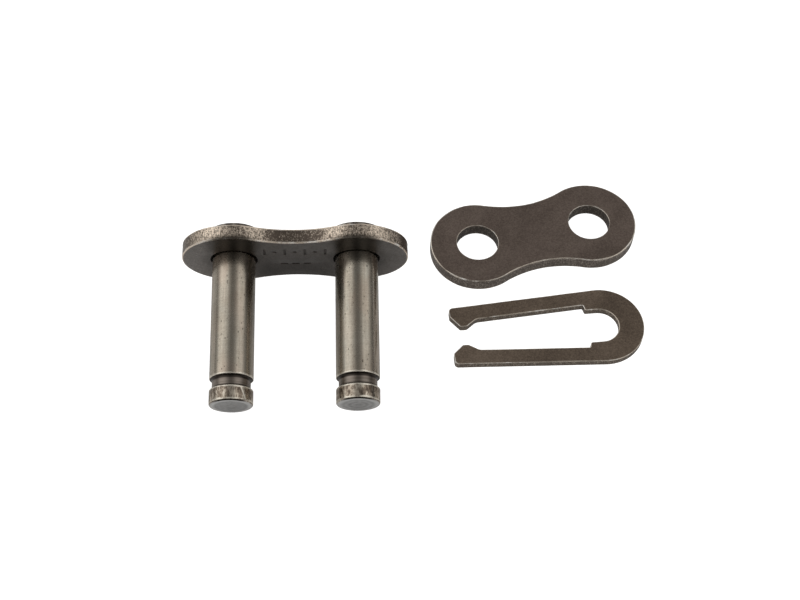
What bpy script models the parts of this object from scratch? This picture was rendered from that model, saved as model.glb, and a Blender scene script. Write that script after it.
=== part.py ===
"""Spring-clip connecting link of a 12.7 mm pitch roller chain, laid out as a kit.

Three loose assemblies lie on a flat bench (z = 0):
  pin link          outer plate with two riveted pins, resting on the plate's
                    lower lobes and on the tips of the two grooved pins
  connecting plate  loose outer plate with two bores, lying flat
  spring clip       stamped U-shaped clip, lying flat

Units are metres, +Z up.  The origin is under the middle of the whole kit.
The pin link's own frame has +Z along the pins and z = 0 on the plate's inner
face; the other two frames have z = 0 on the underside of their piece.
"""
import bpy
import bmesh
import math
from mathutils import Vector

MM = 0.001
QUARTER_TURN = math.pi / 2

# ------------------------------------------------------------------ dimensions
PITCH = 12.70 * MM                  # pin centre to pin centre
PLATE_THICKNESS = 1.54 * MM
PLATE_EDGE = 0.10 * MM              # rounding of both plates' outer edges

# pins, measured along the axis from the pin plate's inner face
PIN_RADIUS = 2.225 * MM
PIN_LENGTH = 15.91 * MM             # inner face to tip
PIN_TIP_ROUND = 0.22 * MM
GROOVE_START = 13.14 * MM
GROOVE_WIDTH = 1.14 * MM
NECK_RADIUS = 1.95 * MM
SHANK_BREAK = 0.06 * MM             # broken edge of the groove, shank side
HEAD_BREAK = 0.13 * MM              # softer edge, tip side
SHOULDER = 0.015 * MM               # flat left on each groove wall
SHANK_FILLET = PIN_RADIUS - SHANK_BREAK - SHOULDER - NECK_RADIUS
HEAD_FILLET = PIN_RADIUS - HEAD_BREAK - SHOULDER - NECK_RADIUS
RIVET_RADIUS = 2.80 * MM            # upset end behind the plate
RIVET_HEIGHT = 1.55 * MM
RIVET_EDGE = 0.25 * MM
SEAT_GAP = 0.02 * MM                # between the rivet head and the plate's back

# pin plate (the outer plate that carries the pins)
PIN_PLATE_LOBE = 5.36 * MM          # radius of the round ends
PIN_PLATE_WAIST = 4.10 * MM         # half height at the waist
PIN_PLATE_BORE = PIN_RADIUS + 0.02 * MM
PIN_PLATE_BORE_EDGE = 0.17 * MM     # rounding of the holes' edges

# connecting plate (the loose outer plate)
LOOSE_PLATE_LOBE = 5.12 * MM
LOOSE_PLATE_WAIST = 3.86 * MM
LOOSE_PLATE_BORE = PIN_RADIUS + 0.03 * MM   # slides over the pins
LOOSE_PLATE_BORE_EDGE = 0.04 * MM
LOOSE_PLATE_BORE_FLARE = 0.10 * MM  # widening of the bores' lower half, at the underside

# marks sunk into the pin plate's inner face, as (width, height)
MARK_DEPTH = 0.08 * MM
MARK_PUNCH_RISE = 0.30 * MM         # height of the punches above the inner face
MARK_STEP = 1.05 * MM
MARK_UPPER_Y = 1.85 * MM
MARK_UPPER_BAR = (0.28 * MM, 1.44 * MM)
MARK_DOT = (0.46 * MM, 0.46 * MM)
MARK_LOWER_Y = -1.05 * MM
MARK_LOWER_STEP = 1.15 * MARK_STEP
MARK_LOWER_BAR = (0.84 * MM, 0.30 * MM)

# spring clip; "along" (its x) runs towards the closed bow, "across" is its y
CLIP_THICKNESS = 0.84 * MM
CLIP_EDGE = 0.06 * MM               # rounding of the outline's edges
CLIP_BOW_RADIUS = 4.40 * MM         # outer radius of the bow
CLIP_BOW_ALONG = 0.28 * MM          # bow centre
CLIP_TAPER = math.radians(3.6)      # each leg closes towards the open end
CLIP_SLOT_RADIUS = 1.99 * MM        # slot that holds the first pin's neck
CLIP_SLOT_ALONG = 0.03 * MM         # slot centre, a little off the bow's
CLIP_SLOT_ACROSS = -0.04 * MM
# the next sizes differ slightly between the legs, as (leg at +y, leg at -y)
CLIP_LEG_WIDTH = (1.71 * MM, 1.66 * MM)
CLIP_STEP_OUTER = (-1.37 * MM, -1.46 * MM)      # shoulders between slot and legs
CLIP_STEP_INNER = (-1.24 * MM, -1.28 * MM)
CLIP_END = (-15.66 * MM, -15.76 * MM)           # leg ends
CLIP_CHAMFER_ACROSS = (2.36 * MM, 2.17 * MM)    # where each end's chamfer starts
CLIP_HOOK_ACROSS = (1.06 * MM, 1.20 * MM)       # hook apex, off the centre line
CLIP_HOOK_OUTER = (-14.68 * MM, -14.71 * MM)    # apex, end nearer the leg's end
CLIP_HOOK_INNER = (-13.98 * MM, -14.10 * MM)    # apex, end nearer the bow
CLIP_HOOK_SLOPE = 0.01 * MM                     # lean of the apex between the two
CLIP_HOOK_ROOT = (-12.92 * MM, -13.04 * MM)     # root of the hook on the leg
# corner roundings of a leg as (radius, segments), from its outer end to the slot
CLIP_ROUNDINGS = (
    (0.42 * MM, 5), (0.22 * MM, 3), (0.20 * MM, 3), (0.36 * MM, 4),
    (1.00 * MM, 5), (0.16 * MM, 3), (0.08 * MM, 2),
)

# lay-out on the bench
PIN_LINK_XY = (-12.536 * MM, 1.039 * MM)        # middle of the pin plate's inner face
PIN_LINK_YAW = math.radians(3.61)
LOOSE_PLATE_XY = (12.781 * MM, 8.537 * MM)
LOOSE_PLATE_YAW = math.radians(15.47)
CLIP_XY = (19.635 * MM, -2.651 * MM)
CLIP_YAW = math.radians(7.80)

LOBE_SEGMENTS = 32                  # on each round end of a plate
WAIST_SEGMENTS = 10                 # on each waist arc
ROUND_SEGMENTS = 48                 # round a pin or a bore
BOW_SEGMENTS = 48
SLOT_SEGMENTS = 32
EDGE_SEGMENTS = 2                   # on each rounded edge of a stamping
MARK_SEGMENTS = 4                   # on each quarter of a mark's round ends
SHARP_ANGLE = math.radians(35)      # edges steeper than this are shaded sharp
FRAME_DISPLAY_SIZE = 4 * MM


# ------------------------------------------------------------------ materials
def steel(name, colour, roughness):
    mat = bpy.data.materials.new(name)
    mat.use_nodes = True
    bsdf = mat.node_tree.nodes["Principled BSDF"]
    bsdf.inputs["Base Color"].default_value = (*colour, 1.0)
    bsdf.inputs["Roughness"].default_value = roughness
    bsdf.inputs["Metallic"].default_value = 1.0
    mat.diffuse_color = (*colour, 1.0)
    return mat


# ------------------------------------------------------------------ outlines
# An outline is a closed list of (point, outward normal) pairs: anticlockwise
# round a piece, clockwise round a hole.
def direction(angle):
    return Vector((math.cos(angle), math.sin(angle)))


def waisted_outline(lobe_radius, waist):
    """Two round ends joined by two hollow waist arcs, all tangent."""
    half_pitch = PITCH / 2
    hollow = ((PITCH ** 2 / 4 + waist ** 2 - lobe_radius ** 2)
              / (2 * (lobe_radius - waist)))        # radius of the waist arcs
    hollow_y = waist + hollow
    meet = math.atan2(hollow_y, -half_pitch)        # right lobe centre -> arc centre
    right = []
    for i in range(LOBE_SEGMENTS + 1):              # right end
        normal = direction(-meet + 2 * meet * i / LOBE_SEGMENTS)
        right.append((Vector((half_pitch, 0)) + lobe_radius * normal, normal))
    half_arc = meet - QUARTER_TURN
    for i in range(1, WAIST_SEGMENTS):              # top waist, right to left
        ray = direction(-QUARTER_TURN + half_arc - 2 * half_arc * i / WAIST_SEGMENTS)
        right.append((Vector((0, hollow_y)) + hollow * ray, -ray))
    left = [(-point, -normal) for point, normal in right]
    return right + left


def bore_outline(centre_x, radius):
    """A bore's wall; its outward normal points into the bore."""
    outline = []
    for i in range(ROUND_SEGMENTS):
        ray = direction(-2 * math.pi * i / ROUND_SEGMENTS)
        outline.append((Vector((centre_x, 0)) + radius * ray, -ray))
    return outline


def rounded_corners(corners):
    """Round each corner (x, y, radius, segments) of a closed outline."""
    outline = []
    for i, (x, y, radius, segments) in enumerate(corners):
        corner = Vector((x, y))
        following = corners[(i + 1) % len(corners)]
        before = (Vector(corners[i - 1][:2]) - corner).normalized()
        after = (Vector(following[:2]) - corner).normalized()
        if radius == 0:
            tangent = (after - before).normalized()
            outline.append((corner, Vector((tangent.y, -tangent.x))))
            continue
        angle = before.angle(after)
        reach = radius / math.tan(angle / 2)
        centre = corner + (before + after).normalized() * (radius / math.sin(angle / 2))
        turn = 1.0 if before.cross(after) < 0 else -1.0     # +1 on a convex corner
        spoke = corner + before * reach - centre
        sweep = (math.pi - angle) * turn
        for k in range(segments + 1):
            cos_k = math.cos(sweep * k / segments)
            sin_k = math.sin(sweep * k / segments)
            ray = Vector((spoke.x * cos_k - spoke.y * sin_k,
                          spoke.x * sin_k + spoke.y * cos_k)).normalized()
            outline.append((centre + radius * ray, ray * turn))
    return outline


def clip_leg_corners(leg):
    """Corners of leg 0 (+y) or 1 (-y) from its outer end back to the slot.
    Both are given on the +y side; the caller mirrors leg 1."""
    def edge(along, inset):
        """Distance across to a line parallel to the leg's outer side."""
        rise = (along - CLIP_BOW_ALONG) * math.sin(CLIP_TAPER)
        return (CLIP_BOW_RADIUS - inset + rise) / math.cos(CLIP_TAPER)

    side = (1, -1)[leg]
    end, root, step = CLIP_END[leg], CLIP_HOOK_ROOT[leg], CLIP_STEP_OUTER[leg]
    width, hook_across = CLIP_LEG_WIDTH[leg], CLIP_HOOK_ACROSS[leg]
    points = (
        (end, edge(end, 0)),
        (end, CLIP_CHAMFER_ACROSS[leg]),
        (CLIP_HOOK_OUTER[leg], hook_across),
        (CLIP_HOOK_INNER[leg], hook_across - CLIP_HOOK_SLOPE),
        (root, edge(root, width)),
        (step, edge(step, width)),
        (CLIP_STEP_INNER[leg], CLIP_SLOT_RADIUS + side * CLIP_SLOT_ACROSS),
    )
    return [(*point, *rounding) for point, rounding in zip(points, CLIP_ROUNDINGS)]


def clip_outline():
    """Bow, two closing legs with hooked ends, and the shouldered slot."""
    bow = []
    bow_end = QUARTER_TURN + CLIP_TAPER
    for i in range(BOW_SEGMENTS + 1):
        normal = direction(-bow_end + 2 * bow_end * i / BOW_SEGMENTS)
        bow.append((Vector((CLIP_BOW_ALONG, 0)) + CLIP_BOW_RADIUS * normal, normal))

    slot = []
    for i in range(SLOT_SEGMENTS + 1):
        angle = QUARTER_TURN - math.pi * i / SLOT_SEGMENTS
        slot.append((CLIP_SLOT_ALONG + CLIP_SLOT_RADIUS * math.cos(angle),
                     CLIP_SLOT_ACROSS + CLIP_SLOT_RADIUS * math.sin(angle), 0, 0))

    upper = clip_leg_corners(0)
    lower = [(along, -across, radius, segments)
             for along, across, radius, segments in reversed(clip_leg_corners(1))]
    # the bow's two ends only steer the neighbouring corners, then are dropped
    bow_last = (*bow[-1][0], 0, 0)
    bow_first = (*bow[0][0], 0, 0)
    inside = rounded_corners([bow_last] + upper + slot + lower + [bow_first])
    return bow + inside[1:-1]


# ------------------------------------------------------------------ solids
def add_ring(bm, points):
    return [bm.verts.new(point) for point in points]


def add_walls(bm, rings):
    """Quads between each ring and the next."""
    for low, high in zip(rings, rings[1:]):
        for i in range(len(low)):
            j = (i + 1) % len(low)
            bm.faces.new((low[i], low[j], high[j], high[i]))


def add_closed_stack(bm, rings):
    """Walls between the rings, with a flat face on each end."""
    add_walls(bm, rings)
    bm.faces.new(list(reversed(rings[0])))
    bm.faces.new(rings[-1])


def to_mesh(bm, name):
    bmesh.ops.recalc_face_normals(bm, faces=bm.faces)
    mesh = bpy.data.meshes.new(name)
    bm.to_mesh(mesh)
    bm.free()
    return mesh


def to_steel_mesh(bm, name, mat):
    mesh = to_mesh(bm, name)
    mesh.shade_smooth()
    mesh.set_sharp_from_angle(angle=SHARP_ANGLE)
    mesh.materials.append(mat)
    return mesh


def edge_profile(thickness, edge, flare):
    """(inset, z) steps from the bottom face round the wall to the top face.
    The lower half of the wall draws back to flare at the bottom face."""
    rounding = []
    for k in range(EDGE_SEGMENTS + 1):
        angle = QUARTER_TURN * k / EDGE_SEGMENTS
        rounding.append((edge * (1 - math.sin(angle)), edge * (1 - math.cos(angle))))
    steps = [(flare + inset, z) for inset, z in rounding]
    if flare:
        steps.append((0.0, thickness * 0.5))
    steps += [(inset, thickness - z) for inset, z in reversed(rounding)]
    return steps


def stamping(name, mat, loops, thickness, base_z=0.0):
    """Flat stamping from (outline, edge rounding, flare) loops, the outer one first."""
    bm = bmesh.new()
    bottoms, tops = [], []
    for outline, edge, flare in loops:
        rings = [add_ring(bm, [(point.x - normal.x * inset, point.y - normal.y * inset,
                                base_z + z) for point, normal in outline])
                 for inset, z in edge_profile(thickness, edge, flare)]
        add_walls(bm, rings)
        bottoms.append(rings[0])
        tops.append(rings[-1])
    for cap in (bottoms, tops):
        edges = [bm.edges.get((ring[i], ring[(i + 1) % len(ring)]))
                 for ring in cap for i in range(len(ring))]
        bmesh.ops.triangle_fill(bm, use_beauty=True, edges=edges)
    return to_steel_mesh(bm, name, mat)


def plate_loops(lobe_radius, waist, bore_radius, bore_edge, bore_flare):
    """Loops of a waisted plate with a bore in each lobe."""
    return [(waisted_outline(lobe_radius, waist), PLATE_EDGE, 0.0),
            (bore_outline(-PITCH / 2, bore_radius), bore_edge, bore_flare),
            (bore_outline(PITCH / 2, bore_radius), bore_edge, bore_flare)]


def turned(name, mat, profile):
    """Solid of revolution about Z from (radius, z) steps, closed by flat ends."""
    bm = bmesh.new()
    angles = [2 * math.pi * i / ROUND_SEGMENTS for i in range(ROUND_SEGMENTS)]
    rings = [add_ring(bm, [(radius * math.cos(angle), radius * math.sin(angle), z)
                           for angle in angles])
             for radius, z in profile]
    add_closed_stack(bm, rings)
    return to_steel_mesh(bm, name, mat)


def add_object(name, mesh, parent, location=(0, 0, 0)):
    obj = bpy.data.objects.new(name, mesh)
    bpy.context.scene.collection.objects.link(obj)
    obj.parent = parent
    obj.location = location
    return obj


def add_frame(name, location, rotation):
    """Empty that carries one loose assembly."""
    frame = add_object(name, None, None, location)
    frame.rotation_euler = rotation
    frame.empty_display_size = FRAME_DISPLAY_SIZE
    return frame


# ------------------------------------------------------------------ pin link
def pin_profile():
    """Rivet head, shank, clip groove and rounded tip, along +Z."""
    def arc(centre_radius, centre_z, radius, start, end, segments):
        """(radius, z) points on a rounding; start and end in quarter turns."""
        angles = [QUARTER_TURN * (start + (end - start) * k / segments)
                  for k in range(segments + 1)]
        return [(centre_radius + radius * math.cos(angle),
                 centre_z + radius * math.sin(angle)) for angle in angles]

    rivet_back = -PLATE_THICKNESS - RIVET_HEIGHT
    seat = -PLATE_THICKNESS - SEAT_GAP
    groove_end = GROOVE_START + GROOVE_WIDTH
    return [
        *arc(RIVET_RADIUS - RIVET_EDGE, rivet_back + RIVET_EDGE, RIVET_EDGE, -1, 0, 4),
        (RIVET_RADIUS, seat),
        (PIN_RADIUS, seat),
        *arc(PIN_RADIUS - SHANK_BREAK, GROOVE_START - SHANK_BREAK, SHANK_BREAK, 0, 1, 2),
        *arc(NECK_RADIUS + SHANK_FILLET, GROOVE_START + SHANK_FILLET, SHANK_FILLET, -1, -2, 3),
        *arc(NECK_RADIUS + HEAD_FILLET, groove_end - HEAD_FILLET, HEAD_FILLET, 2, 1, 3),
        *arc(PIN_RADIUS - HEAD_BREAK, groove_end + HEAD_BREAK, HEAD_BREAK, -1, 0, 3),
        *arc(PIN_RADIUS - PIN_TIP_ROUND, PIN_LENGTH - PIN_TIP_ROUND, PIN_TIP_ROUND, 0, 1, 4),
    ]


def rest_pose():
    """Pitch at which the plate's lower edge and the pin tips share the bench,
    and the height of the plate's inner-face centre at that pitch."""
    # from the centre of the plate's edge rounding to that of the pin tip's
    axial = PIN_LENGTH - PIN_TIP_ROUND + PLATE_EDGE
    radial = PIN_PLATE_LOBE - PLATE_EDGE - PIN_RADIUS + PIN_TIP_ROUND
    tilt = (math.atan2(radial, axial)
            + math.asin((PLATE_EDGE - PIN_TIP_ROUND) / math.hypot(axial, radial)))
    height = ((PIN_PLATE_LOBE - PLATE_EDGE) * math.cos(tilt)
              - PLATE_EDGE * math.sin(tilt) + PLATE_EDGE)
    return tilt, height


def add_mark(bm, x, y, size):
    """Round-ended punch of (width, height) size, standing through the inner face."""
    width, height = size
    radius = min(width, height) / 2
    offset_x = (width - 2 * radius) / 2
    offset_y = (height - 2 * radius) / 2

    def apart(first, second):
        return math.hypot(first[0] - second[0], first[1] - second[1]) > 1e-7

    loop = []
    for quadrant, (sign_x, sign_y) in enumerate(((1, 1), (-1, 1), (-1, -1), (1, -1))):
        for k in range(MARK_SEGMENTS + 1):
            angle = QUARTER_TURN * (quadrant + k / MARK_SEGMENTS)
            point = (x + sign_x * offset_x + radius * math.cos(angle),
                     y + sign_y * offset_y + radius * math.sin(angle))
            if not loop or apart(point, loop[-1]):
                loop.append(point)
    if not apart(loop[0], loop[-1]):
        loop.pop()
    add_closed_stack(bm, [add_ring(bm, [(px, py, z) for px, py in loop])
                          for z in (-MARK_DEPTH, MARK_PUNCH_RISE)])


def punch_mesh():
    bm = bmesh.new()
    for i in range(-3, 4):                  # upper row: bars and dots in turn
        add_mark(bm, i * MARK_STEP, MARK_UPPER_Y, MARK_UPPER_BAR if i % 2 else MARK_DOT)
    for i in range(-1, 2):                  # lower row: three flat bars
        add_mark(bm, i * MARK_LOWER_STEP, MARK_LOWER_Y, MARK_LOWER_BAR)
    return to_mesh(bm, "mark_punches")


def build_pin_link(plate_steel, pin_steel):
    tilt, height = rest_pose()
    frame = add_frame("pin_link_frame", (*PIN_LINK_XY, height),
                      (QUARTER_TURN + tilt, 0.0, PIN_LINK_YAW))

    loops = plate_loops(PIN_PLATE_LOBE, PIN_PLATE_WAIST, PIN_PLATE_BORE,
                        bore_edge=PIN_PLATE_BORE_EDGE, bore_flare=0.0)
    plate_mesh = stamping("pin_plate", plate_steel, loops, PLATE_THICKNESS,
                          base_z=-PLATE_THICKNESS)
    plate = add_object("pin_plate", plate_mesh, frame)

    pin_mesh = turned("pin", pin_steel, pin_profile())      # shared by both pins
    add_object("pin_left", pin_mesh, frame, (-PITCH / 2, 0, 0))
    add_object("pin_right", pin_mesh, frame, (PITCH / 2, 0, 0))

    punches = add_object("mark_punches", punch_mesh(), frame)
    punches.hide_render = True
    punches.display_type = 'WIRE'
    cut = plate.modifiers.new("stamped_marks", 'BOOLEAN')
    cut.operation = 'DIFFERENCE'
    cut.solver = 'EXACT'
    cut.object = punches


# ------------------------------------------------------------------ loose pieces
def build_connecting_plate(mat):
    frame = add_frame("connecting_plate_frame", (*LOOSE_PLATE_XY, 0.0),
                      (0.0, 0.0, LOOSE_PLATE_YAW))
    loops = plate_loops(LOOSE_PLATE_LOBE, LOOSE_PLATE_WAIST, LOOSE_PLATE_BORE,
                        bore_edge=LOOSE_PLATE_BORE_EDGE, bore_flare=LOOSE_PLATE_BORE_FLARE)
    mesh = stamping("connecting_plate", mat, loops, PLATE_THICKNESS)
    add_object("connecting_plate", mesh, frame)


def build_spring_clip(mat):
    frame = add_frame("spring_clip_frame", (*CLIP_XY, 0.0), (0.0, 0.0, CLIP_YAW))
    mesh = stamping("spring_clip", mat, [(clip_outline(), CLIP_EDGE, 0.0)], CLIP_THICKNESS)
    add_object("spring_clip", mesh, frame)


# ------------------------------------------------------------------ build
for old in list(bpy.data.objects):
    bpy.data.objects.remove(old, do_unlink=True)

build_pin_link(
    plate_steel=steel("pin_plate_steel", colour=(0.125, 0.108, 0.098), roughness=0.48),
    pin_steel=steel("ground_pin_steel", colour=(0.24, 0.225, 0.205), roughness=0.30))
build_connecting_plate(
    steel("blued_plate_steel", colour=(0.105, 0.085, 0.074), roughness=0.50))
build_spring_clip(
    steel("spring_clip_steel", colour=(0.115, 0.092, 0.076), roughness=0.52))
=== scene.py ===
"""Spring-clip connecting link laid out in loose pieces on a white bench.

The pin link (plate with two pins) stands on the plate's long edge with its pins
pointing forwards (-Y) and their tips on the bench.  The connecting plate and the
clip lie flat at z = 0.  Sizes are in mm and become metres as meshes are made;
shader distances are in metres.
"""
import math

import bpy
import bmesh
import numpy as np
from mathutils import Matrix, Vector, noise


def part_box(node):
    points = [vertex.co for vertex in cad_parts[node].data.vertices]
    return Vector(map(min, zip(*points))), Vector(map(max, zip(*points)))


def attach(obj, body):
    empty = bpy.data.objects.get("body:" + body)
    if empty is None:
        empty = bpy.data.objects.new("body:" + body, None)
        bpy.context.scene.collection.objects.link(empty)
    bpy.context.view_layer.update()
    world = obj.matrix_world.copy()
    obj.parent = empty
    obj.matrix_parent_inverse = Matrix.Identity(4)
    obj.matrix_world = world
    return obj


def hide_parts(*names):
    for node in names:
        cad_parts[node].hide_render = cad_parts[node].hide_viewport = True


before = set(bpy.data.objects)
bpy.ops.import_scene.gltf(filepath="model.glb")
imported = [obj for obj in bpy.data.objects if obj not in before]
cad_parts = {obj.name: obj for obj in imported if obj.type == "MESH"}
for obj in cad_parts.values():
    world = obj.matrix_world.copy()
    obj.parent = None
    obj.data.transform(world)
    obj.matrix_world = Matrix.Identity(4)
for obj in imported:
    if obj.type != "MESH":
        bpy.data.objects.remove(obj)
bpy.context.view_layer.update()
MM = 0.001
HALF_PI = math.pi / 2

# ---- sizes (mm); LOBE and WAIST are half widths, BORE is a radius
PITCH = 12.70
PLATE_THICK = 1.54
PIN_PLATE_LOBE, PIN_PLATE_WAIST, PIN_PLATE_BORE = 5.36, 4.10, 2.245
CONN_LOBE, CONN_WAIST, CONN_BORE = 5.12, 3.86, 2.255
CONN_FLARE = 0.03                            # bore widening at the underside
EDGE, PIN_PLATE_BORE_EDGE, CONN_BORE_EDGE = 0.10, 0.17, 0.04     # corner radii

PIN_R, PIN_LEN, TIP_ROUND = 2.225, 15.91, 0.22
GROOVE_START, GROOVE_WIDTH, NECK_R = 13.14, 1.14, 1.95
GROOVE_END = GROOVE_START + GROOVE_WIDTH
SHANK_BREAK, SHANK_FILLET = 0.06, 0.20       # groove's edge and floor corner, shank side
HEAD_BREAK, HEAD_FILLET = 0.13, 0.13         # the same on the head's side
RIVET_R, RIVET_HEIGHT, RIVET_ROUND, RIVET_SEAT = 2.80, 1.55, 0.25, 0.02

CLIP_THICK, CLIP_EDGE = 0.84, 0.06
CLIP_BOW_R, CLIP_BOW_X = 4.40, 0.28
CLIP_TAPER = math.radians(3.6)
CLIP_SLOT_R, CLIP_SLOT_X, CLIP_SLOT_Y = 1.99, 0.03, -0.04
# legs: width, hook y, step x at leg and slot, end x, chamfer y, hook tip, back and foot x
CLIP_FAR_LEG = (1.71, 1.06, -1.37, -1.24, -15.66, 2.36, -14.68, -13.98, -12.92)
CLIP_NEAR_LEG = (1.66, 1.20, -1.46, -1.28, -15.76, 2.17, -14.71, -14.10, -13.04)

MARK_UPPER_Y, MARK_LOWER_Y, MARK_STEP, MARK_DEPTH = 1.85, -1.05, 1.05, 0.08
LINK_YAW, CONN_YAW, CLIP_YAW = math.radians(3.61), math.radians(15.47), math.radians(7.80)


# ---- poses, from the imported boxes
def centre_of(node):
    low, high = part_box(node)
    return (low + high) / 2


def resting_link():
    """Tilt and axis height of the pin link resting on its plate edge and pin tips."""
    along = PIN_LEN - TIP_ROUND + EDGE
    drop = PIN_PLATE_LOBE - EDGE - PIN_R + TIP_ROUND
    tilt = math.atan2(drop, along) + math.asin((EDGE - TIP_ROUND) / math.hypot(along, drop))
    height = (PIN_PLATE_LOBE - EDGE) * math.cos(tilt) - EDGE * math.sin(tilt) + EDGE
    return tilt, height


LINK_TILT, LINK_HEIGHT = resting_link()
LINK_TURN = Matrix.Rotation(LINK_YAW, 4, 'Z') @ Matrix.Rotation(HALF_PI + LINK_TILT, 4, 'X')
# local z = 0 is the plate's face on the pins' side
link_face = centre_of("pin_plate") + (LINK_TURN @ Vector((0, 0, PLATE_THICK / 2 * MM)))
LINK_POSE = Matrix.Translation(Vector((link_face.x, link_face.y, LINK_HEIGHT * MM))) @ LINK_TURN
conn_centre = centre_of("connecting_plate")
CONN_SPOT = Vector((conn_centre.x, conn_centre.y, 0))
CONN_POSE = Matrix.Translation(CONN_SPOT) @ Matrix.Rotation(CONN_YAW, 4, 'Z')


# ---- outlines: an array of points and one of outward normals
def waisted(lobe, waist, lobe_steps=150, waist_steps=70):
    """Two round lobes joined by hollow flanks, anticlockwise."""
    hollow = (PITCH ** 2 / 4 + waist ** 2 - lobe ** 2) / (2 * (lobe - waist))
    centre_y = waist + hollow
    meet = math.atan2(centre_y, -PITCH / 2)
    points, normals = [], []
    for i in range(lobe_steps + 1):
        angle = -meet + 2 * meet * i / lobe_steps
        out = (math.cos(angle), math.sin(angle))
        points.append((PITCH / 2 + lobe * out[0], lobe * out[1]))
        normals.append(out)
    half = meet - HALF_PI
    for i in range(1, waist_steps):
        angle = -HALF_PI + half - 2 * half * i / waist_steps
        out = (math.cos(angle), math.sin(angle))
        points.append((hollow * out[0], centre_y + hollow * out[1]))
        normals.append((-out[0], -out[1]))
    points, normals = np.array(points), np.array(normals)
    return np.vstack([points, -points]), np.vstack([normals, -normals])


def bore(centre_x, radius, count=160):
    """A hole, clockwise, its normals pointing out of the metal."""
    angle = -2 * np.pi * np.arange(count) / count
    out = np.stack([np.cos(angle), np.sin(angle)], 1)
    return out * radius + np.array([centre_x, 0]), -out


def rounded_corner(before, corner, after, step):
    """Points and normals round one (x, y, radius) corner."""
    x, y, radius = corner
    tip = Vector((x, y))
    back = (Vector(before[:2]) - tip).normalized()
    ahead = (Vector(after[:2]) - tip).normalized()
    if radius <= 0:
        along = (ahead - back).normalized()
        return [(tip, Vector((along.y, -along.x)))]
    angle = back.angle(ahead)
    reach = radius / math.tan(angle / 2)
    centre = tip + (back + ahead).normalized() * (radius / math.sin(angle / 2))
    turn = 1.0 if back.cross(ahead) < 0 else -1.0
    spoke = tip + back * reach - centre
    sweep = (math.pi - angle) * turn
    count = max(4, int(abs(sweep) * radius / step) + 3)
    arc = []
    for j in range(count + 1):
        cos, sin = math.cos(sweep * j / count), math.sin(sweep * j / count)
        out = Vector((spoke.x * cos - spoke.y * sin, spoke.x * sin + spoke.y * cos)).normalized()
        arc.append((centre + radius * out, out * turn))
    return arc


def filleted(corners, step=0.06):
    """Rounded closed outline with evenly filled straights."""
    count = len(corners)
    arcs = [rounded_corner(corners[i - 1], corners[i], corners[(i + 1) % count], step)
            for i in range(count)]
    points, normals = [], []
    for i, arc in enumerate(arcs):
        for point, normal in arc:
            points.append(point[:])
            normals.append(normal[:])
        start = arc[-1][0]
        run = arcs[(i + 1) % count][0][0] - start
        along = run.normalized()
        pieces = int(run.length / (step * 2))
        for j in range(1, pieces):
            points.append((start + run * (j / pieces))[:])
            normals.append((along.y, -along.x))
    return np.array(points), np.array(normals)


def clip_leg(sizes, side):
    """Corners (x, y, radius) from a leg's end to the slot; side is +1 far, -1 near."""
    width, hook_y, step_leg, step_slot, end, chamfer_y, hook_tip, hook_back, hook_foot = sizes

    def edge_y(x, inset):
        return ((CLIP_BOW_R - inset + (x - CLIP_BOW_X) * math.sin(CLIP_TAPER))
                / math.cos(CLIP_TAPER))

    return [(end, edge_y(end, 0), 0.42),
            (end, chamfer_y, 0.22),
            (hook_tip, hook_y, 0.20),
            (hook_back, hook_y - 0.01, 0.36),
            (hook_foot, edge_y(hook_foot, width), 1.00),
            (step_leg, edge_y(step_leg, width), 0.16),
            (step_slot, CLIP_SLOT_R + side * CLIP_SLOT_Y, 0.13)]


def clip_outline(bow_steps=180, slot_steps=90):
    """Bow at +x, two tapering hooked legs towards -x, round slot between them."""
    top = HALF_PI + CLIP_TAPER
    bow = [(CLIP_BOW_X + CLIP_BOW_R * math.cos(-top + 2 * top * i / bow_steps),
            CLIP_BOW_R * math.sin(-top + 2 * top * i / bow_steps), 0)
           for i in range(bow_steps + 1)]
    slot = [(CLIP_SLOT_X + CLIP_SLOT_R * math.cos(HALF_PI - math.pi * i / slot_steps),
             CLIP_SLOT_Y + CLIP_SLOT_R * math.sin(HALF_PI - math.pi * i / slot_steps), 0)
            for i in range(slot_steps + 1)]
    near = [(x, -y, radius) for x, y, radius in reversed(clip_leg(CLIP_NEAR_LEG, -1))]
    return filleted(bow + clip_leg(CLIP_FAR_LEG, 1) + slot + near)


def mark_outline(x, y, width, height, steps=8):
    """Round-ended bar, or a disc if width equals height."""
    radius = min(width, height) / 2
    half_x, half_y = (width - 2 * radius) / 2, (height - 2 * radius) / 2
    points, normals = [], []

    def same(a, b):
        return math.hypot(a[0] - b[0], a[1] - b[1]) < 1e-6

    for quarter, (sx, sy) in enumerate(((1, 1), (-1, 1), (-1, -1), (1, -1))):
        for i in range(steps + 1):
            angle = HALF_PI * (quarter + i / steps)
            point = (x + sx * half_x + radius * math.cos(angle),
                     y + sy * half_y + radius * math.sin(angle))
            if points and same(point, points[-1]):
                continue
            points.append(point)
            normals.append((math.cos(angle), math.sin(angle)))
    if same(points[0], points[-1]):
        points.pop()
        normals.pop()
    return np.array(points), np.array(normals)


# ---- meshes
def fbm(x, y, z, octaves=3):
    total, amplitude, frequency = 0.0, 1.0, 1.0
    for _ in range(octaves):
        total += amplitude * noise.noise(Vector((x * frequency, y * frequency, z * frequency)))
        amplitude *= 0.5
        frequency *= 2.03
    return total


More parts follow.
